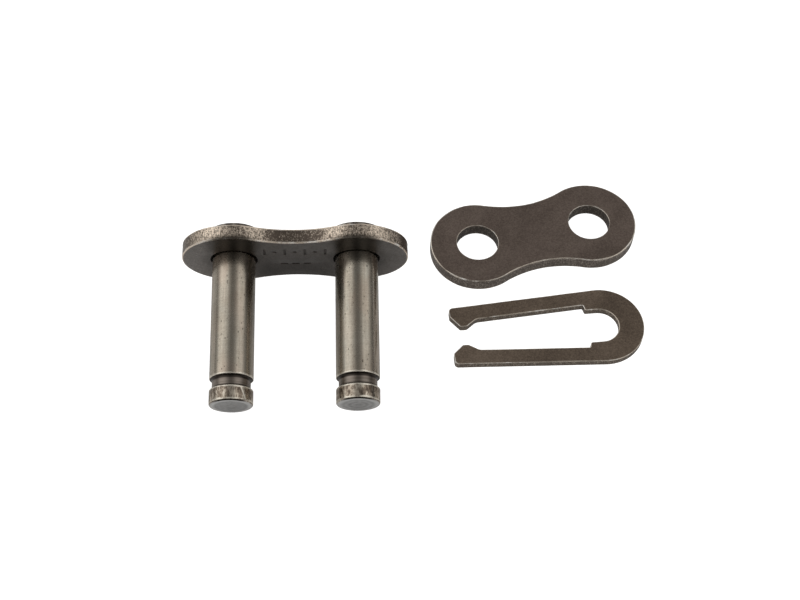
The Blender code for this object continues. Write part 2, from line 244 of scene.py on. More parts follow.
class Shell:
    """One closed piece with two masks for its steel: wear_and_shading is above 0
    where rubbed, and rubbed plate corners carry painted highlights; below 0 it
    marks painted shade in bore corners and on bore walls, a painted dark
    reflection in the pins' tip rounding and the darkened stamped marks; wall is 1
    on side walls."""

    def __init__(self):
        self.bm = bmesh.new()
        self.wear_and_shading = self.bm.verts.layers.float.new("wear_and_shading")
        self.wall = self.bm.verts.layers.float.new("wall")

    def vert(self, point, wear_and_shading, wall):
        vert = self.bm.verts.new([value * MM for value in point])
        vert[self.wear_and_shading], vert[self.wall] = wear_and_shading, wall
        return vert

    def ring(self, points, wear_and_shading, wall):
        return [self.vert(point, wear_and_shading, wall) for point in points]

    def skin(self, rings):
        for a, b in zip(rings, rings[1:]):
            for i in range(len(a)):
                j = (i + 1) % len(a)
                self.bm.faces.new((a[i], a[j], b[j], b[i]))

    def fill(self, rings):
        """Flat face bounded by skinned rings, the inner ones being holes."""
        edges = [self.bm.edges.get((ring[i], ring[(i + 1) % len(ring)]))
                 for ring in rings for i in range(len(ring))]
        bmesh.ops.triangle_fill(self.bm, use_beauty=True, edges=edges)

    def fan(self, ring, z, wear_and_shading):
        centre = self.vert((0, 0, z), wear_and_shading, 0.0)
        for i in range(len(ring)):
            self.bm.faces.new((ring[i], ring[(i + 1) % len(ring)], centre))

    def done(self, name, pose, mat, body, node):
        bmesh.ops.recalc_face_normals(self.bm, faces=self.bm.faces)
        mesh = bpy.data.meshes.new(name)
        self.bm.to_mesh(mesh)
        self.bm.free()
        mesh.shade_smooth()
        obj = bpy.data.objects.new(name, mesh)
        bpy.context.scene.collection.objects.link(obj)
        obj.matrix_world = pose
        mesh.materials.append(mat)
        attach(obj, body)
        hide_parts(node)


def stamp_wall(shell, outline, thickness, bottom, edge, seed, caps, rough,
               flip_break=False, flare=0.0, shaded_corners=False, wall_shade=0.0):
    """Wall of a blanked stamping: uneven rounded corners, a burnished band and a
    rougher, slightly undercut break in the upper half (lower if flip_break).

    caps are insets of extra loops on both faces.  The lower half draws back to
    flare at the underside.  If shaded_corners is set, the corners get painted
    shade instead of being rubbed, and wall_shade paints shade on the wall between
    the corners.  Returns the two cap loops.
    """
    points, normals = outline
    corner_steps, wall_steps = 6, 9

    def corner_radii(phase):
        return np.array([edge * (1 + 0.28 * fbm(x * 0.55, y * 0.55, phase)) for x, y in points])

    low, high = corner_radii(seed), corner_radii(seed + 7.3)
    face_wear = 0.0 if shaded_corners else 0.45
    sign = -1.0 if shaded_corners else 1.0
    rings = []

    def add(inset, z, wear_and_shading, wall):
        inset = np.broadcast_to(inset, (len(points),))
        z = np.broadcast_to(z, (len(points),))
        ring = np.column_stack([points - normals * inset[:, None], z + bottom])
        rings.append(shell.ring(ring, wear_and_shading, wall))

    def corner_mask(i):
        angle = HALF_PI * i / corner_steps
        return sign * (0.75 + 0.25 * math.sin(2 * angle)), i / corner_steps * 0.5

    for cap in reversed(caps):
        add(cap + flare, 0.0, 0.0, 0.0)
    add(low + 0.035 + flare, 0.0, face_wear, 0.0)
    for i in range(corner_steps + 1):
        angle = HALF_PI * i / corner_steps
        add(flare + low * (1 - math.sin(angle)), low * (1 - math.cos(angle)), *corner_mask(i))
    for i in range(1, wall_steps):
        up = i / wall_steps
        depth = 1 - up if flip_break else up
        undercut = 0.035 * (max(0.0, (depth - 0.45) / 0.55)
                            * (1 - max(0.0, (depth - 0.85) / 0.15)))
        swell = rough * (0.35 + 1.1 * (depth > 0.45)) * math.sin(math.pi * up) ** 0.5
        bumps = np.array([fbm(x * 5.0, y * 5.0, up * 1.4 + seed) for x, y in points])
        add(flare * max(0.0, 1 - 2 * up) + undercut - swell * bumps,
            low + (thickness - low - high) * up, -wall_shade, 1.0)
    for i in range(corner_steps, -1, -1):
        angle = HALF_PI * i / corner_steps
        add(high * (1 - math.sin(angle)), thickness - high * (1 - math.cos(angle)),
            *corner_mask(i))
    add(high + 0.035, thickness, face_wear, 0.0)
    for cap in caps:
        add(cap, thickness, 0.0, 0.0)
    shell.skin(rings)
    return rings[0], rings[-1]


def pressed_mark(shell, outline):
    """Shallow stamped mark in the face at z = 0; returns its loop in that face."""
    points, normals = outline
    # inset, z, wear_and_shading; the negative values darken the mark
    profile = [(-0.035, 0.0, 0.0), (-0.012, -0.005, 0.0), (0.012, -0.02, -0.12),
               (0.035, -MARK_DEPTH * 0.8, -0.26), (0.07, -MARK_DEPTH, -0.26)]
    rings = [shell.ring(np.column_stack([points - normals * inset, np.full(len(points), z)]),
                        wear_and_shading, 0.0) for inset, z, wear_and_shading in profile]
    shell.skin(rings)
    shell.fill([rings[-1]])
    return rings[0]


def waisted_plate(shell, lobe, waist, bore_radius, bottom, seed, seed_step, outer, holes,
                  marks=()):
    """Plate with two bores; outer and holes are stamp_wall settings."""
    walls = ((waisted(lobe, waist), outer),
             (bore(-PITCH / 2, bore_radius), holes),
             (bore(PITCH / 2, bore_radius), holes))
    lows, highs = [], []
    for i, (outline, settings) in enumerate(walls):
        low, high = stamp_wall(shell, outline, PLATE_THICK, bottom,
                               seed=seed + seed_step * i, **settings)
        lows.append(low)
        highs.append(high)
    highs += [pressed_mark(shell, mark) for mark in marks]
    shell.fill(lows)
    shell.fill(highs)


def make_pin_plate(mat):
    # upper row of bars and dots in turn, lower row of three flat bars
    marks = [mark_outline(i * MARK_STEP, MARK_UPPER_Y, *((0.28, 1.44) if i % 2 else (0.46, 0.46)))
             for i in range(-3, 4)]
    marks += [mark_outline(i * MARK_STEP * 1.15, MARK_LOWER_Y, 0.84, 0.30) for i in range(-1, 2)]
    shell = Shell()
    waisted_plate(shell, PIN_PLATE_LOBE, PIN_PLATE_WAIST, PIN_PLATE_BORE, bottom=-PLATE_THICK,
                  seed=3.1, seed_step=11, marks=marks,
                  outer=dict(edge=EDGE, caps=(0.22, 0.6), rough=0.012, flip_break=True),
                  # the bores' corners carry painted shade where the pins meet the plate
                  holes=dict(edge=PIN_PLATE_BORE_EDGE, caps=(0.28, 0.42), rough=0.002,
                             flip_break=True, shaded_corners=True))
    shell.done("pin_plate_steel", LINK_POSE, mat, "pin_link", "pin_plate")


def make_connecting_plate(mat):
    shell = Shell()
    waisted_plate(shell, CONN_LOBE, CONN_WAIST, CONN_BORE, bottom=0.0, seed=20.7, seed_step=9,
                  outer=dict(edge=EDGE, caps=(0.22, 0.6), rough=0.010),
                  # painted shade on the bore walls
                  holes=dict(edge=CONN_BORE_EDGE, caps=(0.12, 0.35), rough=0.004,
                             flare=CONN_FLARE, wall_shade=0.27))
    shell.done("connecting_plate_steel", CONN_POSE, mat,
               "connecting_plate", "connecting_plate")


def make_clip(mat):
    shell = Shell()
    outline = clip_outline()
    low, high = stamp_wall(shell, outline, CLIP_THICK, bottom=0.0, edge=CLIP_EDGE, seed=41.3,
                           caps=(0.122,), rough=0.007)
    shell.fill([low])
    shell.fill([high])
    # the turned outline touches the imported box's high-x and high-y sides
    _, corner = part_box("spring_clip")
    cos, sin = math.cos(CLIP_YAW), math.sin(CLIP_YAW)
    reach_x = CLIP_BOW_X * cos + CLIP_BOW_R
    reach_y = (outline[0] @ np.array([sin, cos])).max()
    spot = Vector((corner.x - reach_x * MM, corner.y - reach_y * MM, 0))
    pose = Matrix.Translation(spot) @ Matrix.Rotation(CLIP_YAW, 4, 'Z')
    shell.done("spring_clip_steel", pose, mat, "spring_clip", "spring_clip")


RIVET_BACK = -PLATE_THICK - RIVET_HEIGHT
SEAT_Z = -PLATE_THICK - RIVET_SEAT


def round_off(centre_r, centre_z, radius, start, stop, steps):
    """Arc of (r, z) points; start and stop are in quarter turns."""
    start, stop = start * HALF_PI, stop * HALF_PI
    angles = [start + (stop - start) * i / steps for i in range(steps + 1)]
    return [(centre_r + radius * math.cos(a), centre_z + radius * math.sin(a)) for a in angles]


def pin_profile():
    """Stations (r, z, wear_and_shading, wall) from the rivet's middle to the tip's."""
    profile = []
    # spun rivet end: low crown with a shallow ring
    for i in range(1, 25):
        r = (RIVET_R - RIVET_ROUND) * i / 24
        crown = 0.05 * (1 - (r / RIVET_R) ** 2) - 0.055 * math.exp(-((r - 1.25) / 0.22) ** 2)
        ring_wear = 0.5 * math.exp(-((r - 1.25) / 0.3) ** 2)
        profile.append((r, RIVET_BACK - crown + 0.05, 0.15 + ring_wear, 0.0))

    def add(points, wear_and_shading, wall):
        profile.extend((r, z, wear_and_shading, wall) for r, z in points)

    add(round_off(RIVET_R - RIVET_ROUND, RIVET_BACK + 0.05 + RIVET_ROUND, RIVET_ROUND,
                  -1, 0, 8)[1:], 0.7, 0.2)
    profile.extend([(RIVET_R, SEAT_Z - 0.12, 0.3, 0.5), (RIVET_R - 0.02, SEAT_Z - 0.03, 0.5, 0.5),
                    (RIVET_R - 0.06, SEAT_Z, 0.2, 0.5), (PIN_R + 0.01, SEAT_Z, 0.0, 0.0),
                    (PIN_R, SEAT_Z + 0.01, 0.0, 1.0)])
    # shank
    shank_end = GROOVE_START - SHANK_BREAK
    add([(PIN_R, SEAT_Z + (shank_end - SEAT_Z) * i / 40) for i in range(1, 40)], 0.0, 1.0)
    add(round_off(PIN_R - SHANK_BREAK, shank_end, SHANK_BREAK, 0, 1, 5), 1.0, 0.6)
    # groove
    add(round_off(NECK_R + SHANK_FILLET, GROOVE_START + SHANK_FILLET, SHANK_FILLET,
                  -1, -2, 7), 0.0, 0.3)
    add([(NECK_R, GROOVE_START + GROOVE_WIDTH * part) for part in (0.30, 0.5, 0.70)], 0.0, 0.5)
    add(round_off(NECK_R + HEAD_FILLET, GROOVE_END - HEAD_FILLET, HEAD_FILLET, 2, 1, 7), 0.0, 0.3)
    # head and tip
    head = GROOVE_END + HEAD_BREAK
    tip = PIN_LEN - TIP_ROUND
    add(round_off(PIN_R - HEAD_BREAK, head, HEAD_BREAK, -1, 0, 7), 1.0, 0.6)
    add([(PIN_R, head + (tip - head) * part) for part in (0.12, 0.35, 0.6, 0.88)], 0.5, 1.0)
    # rubbed where the tip's rounding starts, then a line of painted dark reflection further round
    tip_wear_and_shading = (1.0, 1.0, 0.9, 0.2, -0.6, -1.0, -1.0, -0.7, -0.1, 0.3)
    for i, (r, z) in enumerate(round_off(PIN_R - TIP_ROUND, tip, TIP_ROUND, 0, 1, 9)):
        profile.append((r, z, tip_wear_and_shading[i], 0.6 - 0.6 * i / 9))
    add([(r, PIN_LEN) for r in (PIN_R - TIP_ROUND - 0.05, 1.6, 1.1, 0.5)], 0.0, 0.0)
    return profile


def make_pin(name, x, seed, mat, node, count=192):
    shell = Shell()
    angle = 2 * np.pi * np.arange(count) / count
    cos, sin = np.cos(angle), np.sin(angle)
    rings = []
    for r, z, wear_and_shading, wall in pin_profile():
        # hand-scale unevenness of the upset rivet and of the head
        uneven = 0.018 if z < SEAT_Z - 0.02 else 0.006 if z > GROOVE_END else 0.0
        swell = np.array([uneven * fbm(a * 1.6, b * 1.6, z * 0.9 + seed, 2)
                          for a, b in zip(cos, sin)])
        radius = np.minimum(r + swell, RIVET_R + 0.01 if z < SEAT_Z + 0.001 else PIN_R)
        ring = np.column_stack([radius * cos, radius * sin, np.full(count, z)])
        rings.append(shell.ring(ring, wear_and_shading, wall))
    shell.skin(rings)
    shell.fan(rings[0], RIVET_BACK, 0.15)
    shell.fan(rings[-1], PIN_LEN, 0.0)
    pose = LINK_POSE @ Matrix.Translation(Vector((x * MM, 0, 0)))
    shell.done(name, pose, mat, "pin_link", node)


# ---- shader building
def plug(socket, value):
    """Links a Wire to an input, or sets the input to a plain value."""
    if isinstance(value, Wire):
        value.tree.links.new(value.socket, socket)
    elif value is not None:
        socket.default_value = (*value, 1.0) if socket.type == 'RGBA' else value


def add_node(tree, kind, inputs=None, output=0, **settings):
    node = tree.nodes.new(kind)
    for name, value in settings.items():
        setattr(node, name, value)
    for key, value in (inputs or {}).items():
        plug(node.inputs[key], value)
    return Wire(tree, node.outputs[output])


class Wire:
    """An output socket; each operator or method adds a node fed by it."""

    def __init__(self, tree, socket):
        self.tree, self.socket = tree, socket

    def math(self, operation, other=None, clamp=False, swap=False):
        first, second = (other, self) if swap else (self, other)
        return add_node(self.tree, "ShaderNodeMath", {0: first, 1: second},
                        operation=operation, use_clamp=clamp)

    def __add__(self, other):
        return self.math('ADD', other)

    def __radd__(self, other):
        return self.math('ADD', other, swap=True)

    def __sub__(self, other):
        return self.math('SUBTRACT', other)

    def __mul__(self, other):
        return self.math('MULTIPLY', other)

    def __truediv__(self, other):
        return self.math('DIVIDE', other)

    def __abs__(self):
        return self.math('ABSOLUTE')

    def inverse(self, clamp=False):
        """One minus this."""
        return self.math('SUBTRACT', 1.0, clamp, swap=True)

    def maximum(self, other, clamp=False):
        return self.math('MAXIMUM', other, clamp)

    def scaled(self, x=1.0, y=1.0, z=1.0):
        return add_node(self.tree, "ShaderNodeVectorMath", {0: self, 1: (x, y, z)},
                        operation='MULTIPLY')

    def shifted(self, x=0.0, y=0.0, z=0.0):
        return add_node(self.tree, "ShaderNodeVectorMath", {0: self, 1: (x, y, z)},
                        operation='ADD')

    def split(self):
        node = add_node(self.tree, "ShaderNodeSeparateXYZ", {0: self}).socket.node
        return [Wire(self.tree, socket) for socket in node.outputs]

    def join(self, y, z):
        return add_node(self.tree, "ShaderNodeCombineXYZ", {0: self, 1: y, 2: z})

    def noise(self, scale, detail=3, rough=0.6, distort=0.0):
        return add_node(self.tree, "ShaderNodeTexNoise",
                        {"Vector": self, "Scale": scale, "Detail": detail,
                         "Roughness": rough, "Distortion": distort})

    def cells(self, scale):
        return add_node(self.tree, "ShaderNodeTexVoronoi", {"Vector": self, "Scale": scale})

    def step(self, zero, one):
        """Smooth step: 0 where this equals zero, 1 where it equals one."""
        return add_node(self.tree, "ShaderNodeMapRange", {0: self, 1: zero, 2: one},
                        interpolation_type='SMOOTHSTEP')

    def ramp(self, *stops):
        """Colour ramp of (position, colour) stops."""
        wire = add_node(self.tree, "ShaderNodeValToRGB", {0: self})
        elements = wire.socket.node.color_ramp.elements
        while len(elements) < len(stops):
            elements.new(0.5)
        for element, (position, colour) in zip(elements, stops):
            element.position = position
            element.color = (*colour, 1.0)
        return wire

    def mix(self, off, on):
        """Colour off where this is 0, on where it is 1."""
        return add_node(self.tree, "ShaderNodeMix", {0: self, 6: off, 7: on}, output=2,
                        data_type='RGBA')

    def lerp(self, off, on):
        """Number off where this is 0, on where it is 1."""
        return add_node(self.tree, "ShaderNodeMix", {0: self, 2: off, 3: on},
                        data_type='FLOAT')

    def bump(self, strength, distance, normal=None):
        return add_node(self.tree, "ShaderNodeBump",
                        {"Strength": strength, "Distance": distance,
                         "Height": self, "Normal": normal})


def coords(tree, space="Object"):
    return add_node(tree, "ShaderNodeTexCoord", output=space)


def attribute(tree, name):
    return add_node(tree, "ShaderNodeAttribute", output="Fac", attribute_name=name)


def camera_ray(tree):
    return add_node(tree, "ShaderNodeLightPath", output="Is Camera Ray")


def new_material(name):
    mat = bpy.data.materials.new(name)
    mat.use_nodes = True
    mat.node_tree.nodes.clear()
    return mat, mat.node_tree


def finish(tree, kind, shader):
    plug(tree.nodes.new(kind).inputs[0], shader)


def finish_steel(tree, colour, roughness, normal, metallic):
    shader = add_node(tree, "ShaderNodeBsdfPrincipled",
                      {"Base Color": colour, "Roughness": roughness,
                       "Metallic": metallic, "Normal": normal})
    finish(tree, "ShaderNodeOutputMaterial", shader)


# ---- oxide steel
# painted highlight colour for the glints on rubbed corners
OXIDE_RIM_HIGHLIGHT = (0.94, 0.90, 0.84)               # palest glints on rubbed corners
# near black for painted shade in bore corners and on bore walls, and for darkening the stamped
# marks
SHADE_AND_MARK_DARK = (0.012, 0.010, 0.008)
# painted shade and painted dark reflection on the pin plate's face near the pins
PIN_SHADE = (0.030, 0.025, 0.020)


def flank_rub(u, off_pin):
    """Rubbed flanks of the round ends; u is distance outboard of a pin's axis."""
    outer = u.step(zero=0.0004, one=0.0010) * u.step(zero=0.0048, one=0.0036)
    inner = u.step(zero=-0.0004, one=-0.0010) * u.step(zero=-0.0034, one=-0.0020) * 0.86
    return outer.maximum(inner).maximum(off_pin.step(zero=0.0042, one=0.0028) * 0.85)


def pin_shade_mask(point, x, y, z, off_pin):
    """Painted shade on the pins' side face: a halo round each pin, a painted dark reflection of the
    pins above them and shade between the pins.
    """
    away = (off_pin * off_pin + y * y).math('SQRT')
    drift = (point.noise(scale=420) - 0.5) * 0.0016
    halo = (away + drift).step(zero=0.0038, one=0.0023) * 0.40
    above = (off_pin + drift).step(zero=0.0034, one=0.0012) * y.step(zero=0.0004, one=0.0026) * 0.86
    between = abs(x).step(zero=0.0050, one=0.0028) * y.step(zero=0.0026, one=-0.0030) * 0.62
    return between.maximum(halo.maximum(above)) * z.step(zero=-0.0006, one=-0.0001)


def oxide_steel(name, seed, dark, mid, light, bright, wall_dark, wall_flecks, rub_zero, rub_one,
                rough_high=0.42, rough_low=0.60, wall_rough=0.40, pin_side_rub_and_shade=False):
    """Dark oxide with mottled grain, flecked stamped wall and corners rubbed
    bright in places; where the rubbed corners glint they are painted near white
    as a painted highlight.  rough_high and rough_low are roughness on high and low
    spots of the grain.  pin_side_rub_and_shade adds the pin plate's rubbed
    flanks and painted shade on its face round, above and between the pins."""
    mat, tree = new_material(name)
    point = coords(tree).shifted(seed * 0.013, seed * 0.007, seed * 0.003)
    wear_and_shading, wall = attribute(tree, "wear_and_shading"), attribute(tree, "wall")
    broad = point.noise(scale=210, distort=0.4)
    fine = point.noise(scale=6200, detail=4, rough=0.62)
    tiny = point.noise(scale=13000, detail=2, rough=0.5)
    tone = fine * 0.50 + (broad * 0.38 + tiny * 0.12)
    base = tone.ramp((0.34, dark), (0.50, mid), (0.66, light))
    # faint pale scuffs on the faces
    scuff = point.scaled(y=3.5).noise(scale=520, detail=5, rough=0.7, distort=0.8)
    base = (scuff.step(zero=0.62, one=0.78) * 0.20).mix(base, light)
    # blanked wall: tan and bright grains over dark, partly drawn across the thickness
    flecks = (point.noise(scale=7200, rough=0.65) * 0.62
              + point.scaled(z=0.40).noise(scale=6200) * 0.38)
    base = (wall * 0.9).mix(base, wall_dark)
    grains = flecks + point.noise(scale=420) * 0.15
    if pin_side_rub_and_shade:
        x, y, z = coords(tree).split()
        u = abs(x) - PITCH / 2 * MM
        off_pin = abs(u)
        grains = grains + (flank_rub(u, off_pin) - 0.5) * 0.12
    tan = tuple(0.60 * channel for channel in bright)
    for zero, one, colour in ((0.535, 0.63, tan), (0.625, 0.69, bright)):
        base = (grains.step(zero, one) * (wall * wall_flecks)).mix(base, colour)
    # rubbed corners, broken up along their length; where they glint they are painted near white as
    # a painted highlight
    rub_noise = point.noise(scale=620, detail=4, rough=0.65) + point.noise(scale=3600) * 0.5
    rub = (wear_and_shading * rub_noise).step(rub_zero, rub_one)
    glint = (point.noise(scale=330) * 0.6 + point.noise(scale=2300) * 0.4).step(zero=0.46, one=0.62)
    base = rub.mix(base, glint.mix(bright, OXIDE_RIM_HIGHLIGHT))
    # painted shade in the pin plate's bore corners and on the connecting plate's bore walls, and
    # darkened stamped marks
    darkening = wear_and_shading.step(zero=-0.08, one=-0.62)
    base = (darkening * 1.6).math('MINIMUM', 1.0).mix(base, SHADE_AND_MARK_DARK)
    # painted shade round, above and between the pins on the pin plate's face
    if pin_side_rub_and_shade:
        base = pin_shade_mask(point, x, y, z, off_pin).mix(base, PIN_SHADE)
    rough = tone.step(zero=0.36, one=0.64).lerp(rough_low, rough_high)
    for mask, value in ((wall, wall_rough), (rub, 0.26), (darkening, 0.65)):
        rough = mask.lerp(rough, value)
    normal = (fine * 0.7 + tiny * 0.3).bump(strength=0.34, distance=0.00003)
    normal = point.noise(scale=620, rough=0.5).bump(0.22, 0.00006, normal)
    normal = (flecks * wall).bump(0.5, 0.00004, normal)
    # crossed scratches make a rubbed corner scatter light, so it is less metallic, which lets the
    # pale colour of its painted highlight show
    finish_steel(tree, base, rough, normal, (rub * glint.lerp(0.06, 0.62)).inverse())
    return mat


# ---- pin steel; each ramp is (position, colour) stops from dark to pale
SHANK_RAMP = ((0.36, (0.33, 0.288, 0.236)), (0.50, (0.465, 0.415, 0.342)),
              (0.64, (0.61, 0.552, 0.465)))
HEAD_RAMP = ((0.41, (0.096, 0.071, 0.054)), (0.50, (0.30, 0.240, 0.186)),
             (0.59, (0.72, 0.63, 0.52)))
GROOVE_RAMP = ((0.38, (0.200, 0.168, 0.143)), (0.62, (0.325, 0.280, 0.243)))
END_RAMP = ((0.38, (0.315, 0.308, 0.301)), (0.62, (0.53, 0.52, 0.51)))
RIVET_RAMP = ((0.38, (0.085, 0.070, 0.060)), (0.62, (0.20, 0.168, 0.142)))
PINKISH, GREY, TEMPER = (0.585, 0.480, 0.392), (0.412, 0.405, 0.362), (0.40, 0.315, 0.245)
# ROOT_SHADE is painted shade where the shank meets the plate; TIP_DARK_REFLECTION is a painted dark
# reflection in the tip's rounding
PIT, ROOT_SHADE, TIP_DARK_REFLECTION = (0.085, 0.068, 0.054), (0.105, 0.080, 0.062), (0.030, 0.025, 0.021)
# GROOVE_CORNER_SHADE is painted shade in the groove's corners
GROOVE_CORNER_SHADE, END_RIM, RUBBED = (0.052, 0.043, 0.037), (0.80, 0.79, 0.775), (0.86, 0.79, 0.68)


def pin_steel(name, seed, gouge_angle):
    """Satin shank with pits and streaks, dark groove, brown rubbed head, bright
    rims and a plain flat end.  gouge_angle places one gouge round the head."""
    mat, tree = new_material(name)
    local = coords(tree)
    point = local.shifted(z=seed * 0.031)
    x, y, z = local.split()
    wear_and_shading, wall = attribute(tree, "wear_and_shading"), attribute(tree, "wall")
    radius = (x * x + y * y).math('SQRT')
    # unit direction round the pin, so nothing jumps at the seam
    ux, uy = x / radius.maximum(1e-5), y / radius.maximum(1e-5)
    streak = (ux * 9.0).join(uy * 9.0, z * 90.0 + seed).noise(scale=1.0, detail=5, rough=0.68)
    rings = (ux * 0.25).join(uy * 0.25, z * 5200.0 + seed).noise(scale=1.0, detail=2, rough=0.5)
    fine = point.noise(scale=5200, detail=4)
    broad = point.scaled(z=0.5).noise(scale=330)
    tone = streak * 0.36 + (fine * 0.26 + (broad * 0.26 + rings * 0.12))
    base = tone.ramp(*SHANK_RAMP)
    # drift between a pinkish tan and a plain grey
    hue = point.scaled(z=0.30).noise(scale=430)
    base = (hue.step(zero=0.49, one=0.64) * 0.50).mix(base, PINKISH)
    base = (hue.step(zero=0.49, one=0.36) * 0.40).mix(base, GREY)
    # reddish temper tints, strongest towards the plate
    tint = point.scaled(z=0.35).noise(scale=620).step(zero=0.48, one=0.66)
    base = (tint * z.step(zero=0.0075, one=0.0010).lerp(0.25, 0.75)).mix(base, TEMPER)
    # pits of two sizes, drawn out along the axis, in patches
    drawn = point.scaled(z=0.5)
    big = (drawn.cells(scale=1700).step(zero=0.19, one=0.09)
           * point.noise(scale=700, detail=2, rough=0.5).step(zero=0.52, one=0.60))
    small = (drawn.cells(scale=3600).step(zero=0.26, one=0.14)
             * point.noise(scale=1300, detail=2, rough=0.5).step(zero=0.47, one=0.56))
    pits = big.maximum(small * 0.8)
    base = (pits * 0.50).mix(base, PIT)
    # painted shade darkens the shank where it meets the plate
    root = z + (point.noise(scale=900) - 0.5) * 0.0006
    base = (root.step(zero=0.00055, one=0.00002) * 0.25).mix(base, ROOT_SHADE)
    # head beyond the groove: brown oxide rubbed through to pale metal
    head = z.step(zero=0.01422, one=0.01434)
    mottle = (point.scaled(z=0.55).noise(scale=1500, detail=4, rough=0.65) * 0.60
              + point.scaled(z=0.40).noise(scale=5600) * 0.40)
    base = (head * 0.94).mix(base, mottle.ramp(*HEAD_RAMP))
    # drawn scratches on the head, and one long slanting gouge
    lines = point.scaled(z=0.09).noise(scale=6800, detail=2, rough=0.5).step(zero=0.62, one=0.68)
    lean = x.math('ARCTAN2', y) - (gouge_angle + (z - 0.0145) * 210.0)
    gouge = (abs(lean).step(zero=0.055, one=0.020)
             * (z.step(zero=0.01442, one=0.01450) * z.step(zero=0.01572, one=0.01562)))
    base = (head * (lines * 0.45).maximum(gouge)).mix(base, RUBBED)
    # the groove keeps its dark oxide, with painted shade darkening its sides
    in_groove = z.step(zero=0.01311, one=0.01315) * z.step(zero=0.01430, one=0.01426)
    groove = (rings * 0.6 + broad * 0.4).ramp(*GROOVE_RAMP)
    neck = z.step(zero=0.01338, one=0.01354) * z.step(zero=0.01418, one=0.01402)
    groove = neck.mix(GROOVE_CORNER_SHADE, groove)
    base = (in_groove * radius.step(zero=0.002215, one=0.002180)).mix(base, groove)
    # flat end: matt grey with faint turning rings and a paler rim
    flat_end = (wall.maximum(wear_and_shading, clamp=True).inverse(clamp=True)
                * z.step(zero=0.01582, one=0.01589))
    turning = (radius * 2900.0).join(seed, 0.0).noise(scale=1.0, detail=2, rough=0.5)
    end = (point.noise(scale=2600, detail=4) * 0.40 + turning * 0.60).ramp(*END_RAMP)
    end = (radius.step(zero=0.00150, one=0.00192) * 0.70).mix(end, END_RIM)
    base = flat_end.mix(base, end)
    # rivet end: dark, with a rubbed ring
    rivet = z.step(zero=-0.00150, one=-0.00156)
    base = rivet.mix(base, point.noise(scale=1400, detail=4).ramp(*RIVET_RAMP))
    rub = (wear_and_shading * (point.noise(scale=1300, detail=4) + 0.12)).step(zero=0.38, one=0.60)
    rub = rub * rivet.lerp(1.0, 0.6)
    base = rub.mix(base, RUBBED)
    # a line of painted dark reflection in the tip's rounding, on the pin's top and underside
    darkening = wear_and_shading.step(zero=-0.05, one=-0.40) * abs(ux).step(zero=0.90, one=0.50)
    base = darkening.mix(base, TIP_DARK_REFLECTION)
    rough = tone.step(zero=0.36, one=0.64).lerp(0.28, 0.20)
    for mask, value in ((pits, 0.6), (in_groove.maximum(rivet), 0.30), (head, 0.27),
                        (flat_end, 0.42)):
        rough = mask.lerp(rough, value)
    height = fine * 0.5 + (rings * 0.2 + streak * 0.3)
    normal = height.bump(strength=0.20, distance=0.00003)
    normal = (mottle * head).bump(0.35, 0.00004, normal)
    normal = pits.bump(-0.6, 0.00003, normal)
    scratched = (rub * 0.20).maximum(head * gouge * 0.5)
    finish_steel(tree, base, rough, normal, scratched.inverse())
    return mat


pin_plate_mat = oxide_steel(
    "oxide_steel_pin_plate", seed=1.0, dark=(0.150, 0.134, 0.123), mid=(0.220, 0.199, 0.185),
    light=(0.295, 0.27, 0.25), bright=(0.90, 0.76, 0.62), wall_dark=(0.150, 0.117, 0.092),
    wall_flecks=1.0, rub_zero=0.31, rub_one=0.57, rough_high=0.27, rough_low=0.36,
    wall_rough=0.33, pin_side_rub_and_shade=True)
conn_plate_mat = oxide_steel(
    "oxide_steel_connecting_plate", seed=5.0, dark=(0.134, 0.103, 0.087),
    mid=(0.193, 0.151, 0.127), light=(0.256, 0.203, 0.172), bright=(0.84, 0.74, 0.63),
    wall_dark=(0.16, 0.134, 0.118), wall_flecks=0.34, rub_zero=0.40, rub_one=0.70)
clip_mat = oxide_steel(
    "oxide_spring_steel_clip", seed=9.0, dark=(0.122, 0.093, 0.072), mid=(0.196, 0.151, 0.115),
    light=(0.284, 0.221, 0.170), bright=(0.84, 0.73, 0.61), wall_dark=(0.16, 0.130, 0.108),
    wall_flecks=0.38, rub_zero=0.38, rub_one=0.68)
left_pin_mat = pin_steel("ground_steel_pin_left", seed=1.0, gouge_angle=0.54)
right_pin_mat = pin_steel("ground_steel_pin_right", seed=4.0, gouge_angle=-2.1)

make_pin_plate(pin_plate_mat)
make_pin("pin_left_steel", -PITCH / 2, 1.3, left_pin_mat, "pin_left")
make_pin("pin_right_steel", PITCH / 2, 6.1, right_pin_mat, "pin_right")
make_connecting_plate(conn_plate_mat)
make_clip(clip_mat)


# ---- bench (m)
BENCH_RADII, BENCH_SIDES, BENCH_Z = (0.05, 0.12, 0.24, 0.40), 96, -0.00002


def bench_material():
    """White diffuse surface that glows to the camera only."""
    mat, tree = new_material("white_bench")
    grain = coords(tree).noise(scale=30, detail=2, rough=0.5)
    white = grain.ramp((0.3, (0.80, 0.80, 0.80)), (0.7, (0.83, 0.83, 0.83)))
    diffuse = add_node(tree, "ShaderNodeBsdfDiffuse", {0: white})
    glow = add_node(tree, "ShaderNodeEmission", {0: (1, 1, 1), 1: camera_ray(tree) * 0.90})
    both = add_node(tree, "ShaderNodeAddShader", {0: diffuse, 1: glow})
    finish(tree, "ShaderNodeOutputMaterial", both)
    return mat


